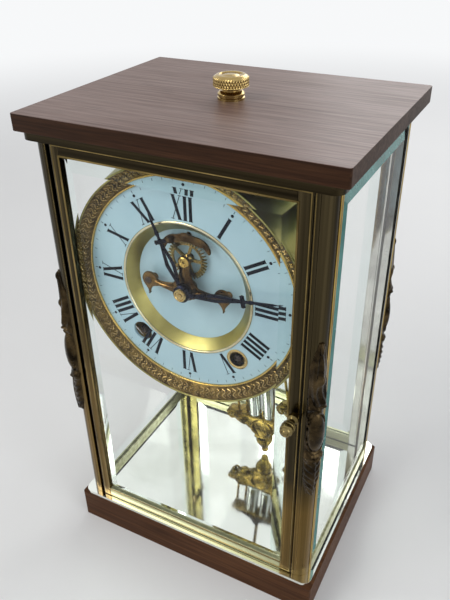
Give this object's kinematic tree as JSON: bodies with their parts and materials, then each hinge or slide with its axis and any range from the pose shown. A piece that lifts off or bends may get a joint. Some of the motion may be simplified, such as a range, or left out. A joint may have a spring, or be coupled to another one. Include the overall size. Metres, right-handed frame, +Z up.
{
  "type": "crystal regulator clock",
  "caption": "Crystal regulator clock with bevelled glass doors, wooden base and top, open-escapement enamel dial and a swinging twin-vial pendulum",
  "frame": {"origin": "middle of the underside of the wooden base", "axes": "x to the clock's right as seen from the dial side, y to the back, z up"},
  "size_m": [0.165, 0.145, 0.2862],
  "materials": {
    "base_wood": "satin red-brown varnish",
    "top_wood": "satin mahogany varnish",
    "frame_brass": "aged, dull olive gold",
    "polished_brass": "polished",
    "gilt_bezel": "stamped and gilt",
    "bronze_ornament": "cast, bronze-brown gilt",
    "movement_brass": "brushed",
    "clear_glass": "clear, ground bevels",
    "white_enamel": "glossy white enamel",
    "blued_steel": "blue-black, satin",
    "bright_steel": "plain steel",
    "silver_vial": "polished silver"
  },
  "bodies": {
    "case": {"base_board": "base_wood", "base_plate": "polished_brass", "case_screws": "bright_steel", "post_front_left": "frame_brass", "post_front_right": "frame_brass", "post_rear_left": "frame_brass", "post_rear_right": "frame_brass", "side_rails": "frame_brass", "roof_plate": "frame_brass", "top_board": "top_wood", "top_collar": "polished_brass", "side_glass_left": "clear_glass", "side_glass_right": "clear_glass", "corner_ornaments": "bronze_ornament", "door_pivots": "polished_brass", "movement_front_plate": "movement_brass", "movement_back_plate": "movement_brass", "movement_pillars": "movement_brass", "movement_hangers": "movement_brass", "dial_ring": "white_enamel", "dial_well": "polished_brass", "dial_centre": "white_enamel", "dial_bezel": "gilt_bezel", "dial_feet": "movement_brass", "winding_eyelet": "polished_brass", "escape_bridge": "bronze_ornament", "gong": "blued_steel", "gong_stand": "movement_brass", "suspension_cock": "movement_brass"},
    "top_knob": {"top_knob": "polished_brass"},
    "front_door": {"front_hinge_stile": "frame_brass", "front_lock_stile": "frame_brass", "front_rails": "frame_brass", "front_glass": "clear_glass"},
    "front_latch": {"front_knob": "polished_brass"},
    "rear_door": {"rear_hinge_stile": "frame_brass", "rear_lock_stile": "frame_brass", "rear_rails": "frame_brass", "rear_glass": "clear_glass"},
    "rear_latch": {"rear_knob": "polished_brass"},
    "minute": {"minute_hand": "blued_steel", "hand_nut": "polished_brass", "cannon_pinion": "bright_steel"},
    "minute_idler": {"minute_wheel": "movement_brass"},
    "hour": {"hour_hand": "blued_steel", "hour_wheel": "movement_brass"},
    "escape": {"escape_wheel": "movement_brass"},
    "third": {"third_wheel": "movement_brass"},
    "centre": {"centre_wheel": "movement_brass"},
    "second": {"second_wheel": "movement_brass"},
    "time_barrel": {"time_barrel": "movement_brass"},
    "time_arbor": {"time_winding_arbor": "bright_steel"},
    "strike_barrel": {"strike_barrel": "movement_brass"},
    "strike_arbor": {"strike_winding_arbor": "bright_steel"},
    "strike_wheel": {"strike_wheel": "movement_brass"},
    "hammer": {"hammer": "bright_steel"},
    "pallets": {"pallet_arbor": "movement_brass"},
    "pendulum": {"pendulum_frame": "polished_brass", "pendulum_vials": "silver_vial"},
    "rating_nut": {"rating_nut": "polished_brass"}
  },
  "joints": [
    {"name": "top_knob_turn", "type": "hinge", "parent": "case", "child": "top_knob", "pos_m": [0, 0, 0.2745], "axis": [0, 0, 1], "continuous": true},
    {"name": "front_door_hinge", "type": "hinge", "parent": "case", "child": "front_door", "pos_m": [-0.0642, -0.0575, 0.1427], "axis": [0, 0, -1], "range_deg": [0, 95]},
    {"name": "front_latch_turn", "type": "hinge", "parent": "front_door", "child": "front_latch", "pos_m": [0.0637, -0.06, 0.142], "axis": [0, -1, 0], "range_deg": [0, 90]},
    {"name": "rear_door_hinge", "type": "hinge", "parent": "case", "child": "rear_door", "pos_m": [0.0642, 0.0575, 0.1427], "axis": [0, 0, -1], "range_deg": [0, 95]},
    {"name": "rear_latch_turn", "type": "hinge", "parent": "rear_door", "child": "rear_latch", "pos_m": [-0.0637, 0.06, 0.142], "axis": [0, 1, 0], "range_deg": [0, 90]},
    {"name": "minute_turn", "type": "hinge", "parent": "case", "child": "minute", "pos_m": [0, 0, 0.193], "axis": [0, 1, 0], "continuous": true},
    {"name": "minute_idler_turn", "type": "hinge", "parent": "case", "child": "minute_idler", "pos_m": [0, 0, 0.1805], "axis": [0, 1, 0], "continuous": true},
    {"name": "hour_turn", "type": "hinge", "parent": "case", "child": "hour", "pos_m": [0, 0, 0.193], "axis": [0, 1, 0], "continuous": true},
    {"name": "escape_turn", "type": "hinge", "parent": "case", "child": "escape", "pos_m": [0, 0, 0.209], "axis": [0, 1, 0], "continuous": true},
    {"name": "third_turn", "type": "hinge", "parent": "case", "child": "third", "pos_m": [0.01808, 0, 0.20738], "axis": [0, 1, 0], "continuous": true},
    {"name": "centre_turn", "type": "hinge", "parent": "case", "child": "centre", "pos_m": [0, 0, 0.193], "axis": [0, 1, 0], "continuous": true},
    {"name": "second_turn", "type": "hinge", "parent": "case", "child": "second", "pos_m": [0.0231, 0, 0.18454], "axis": [0, 1, 0], "continuous": true},
    {"name": "time_barrel_turn", "type": "hinge", "parent": "case", "child": "time_barrel", "pos_m": [0.0284, 0, 0.1599], "axis": [0, 1, 0], "continuous": true},
    {"name": "time_wind", "type": "hinge", "parent": "case", "child": "time_arbor", "pos_m": [0.0284, 0, 0.1599], "axis": [0, 1, 0], "continuous": true},
    {"name": "strike_barrel_turn", "type": "hinge", "parent": "case", "child": "strike_barrel", "pos_m": [-0.0284, 0, 0.1599], "axis": [0, 1, 0], "continuous": true},
    {"name": "strike_wheel_turn", "type": "hinge", "parent": "case", "child": "strike_wheel", "pos_m": [-0.0231, 0, 0.18454], "axis": [0, 1, 0], "continuous": true},
    {"name": "strike_wind", "type": "hinge", "parent": "case", "child": "strike_arbor", "pos_m": [-0.0284, 0, 0.1599], "axis": [0, 1, 0], "continuous": true},
    {"name": "hammer_lift", "type": "hinge", "parent": "case", "child": "hammer", "pos_m": [-0.04, 0, 0.195], "axis": [0, 1, 0], "range_deg": [0, 20]},
    {"name": "pendulum_swing", "type": "hinge", "parent": "case", "child": "pendulum", "pos_m": [0, 0.022, 0.2212], "axis": [0, 1, 0], "range_deg": [0, 8.4]},
    {"name": "pallets_rock", "type": "hinge", "parent": "case", "child": "pallets", "pos_m": [0, 0, 0.2212], "axis": [0, 1, 0], "range_deg": [0, 8.4]},
    {"name": "rating_turn", "type": "hinge", "parent": "pendulum", "child": "rating_nut", "pos_m": [0.01333, 0.022, 0.03969], "axis": [0.0732, 0, -0.9973], "continuous": true}
  ],
  "couplings": [
    {"joint": "minute_idler_turn", "follows": "minute_turn", "ratio": -0.33333},
    {"joint": "hour_turn", "follows": "minute_turn", "ratio": 0.083333},
    {"joint": "third_turn", "follows": "escape_turn", "ratio": -0.1},
    {"joint": "centre_turn", "follows": "escape_turn", "ratio": 0.0076923},
    {"joint": "second_turn", "follows": "escape_turn", "ratio": -0.0010684},
    {"joint": "time_barrel_turn", "follows": "escape_turn", "ratio": 0.00017806},
    {"joint": "strike_wheel_turn", "follows": "strike_barrel_turn", "ratio": -6},
    {"joint": "pallets_rock", "follows": "pendulum_swing", "ratio": 1}
  ]
}
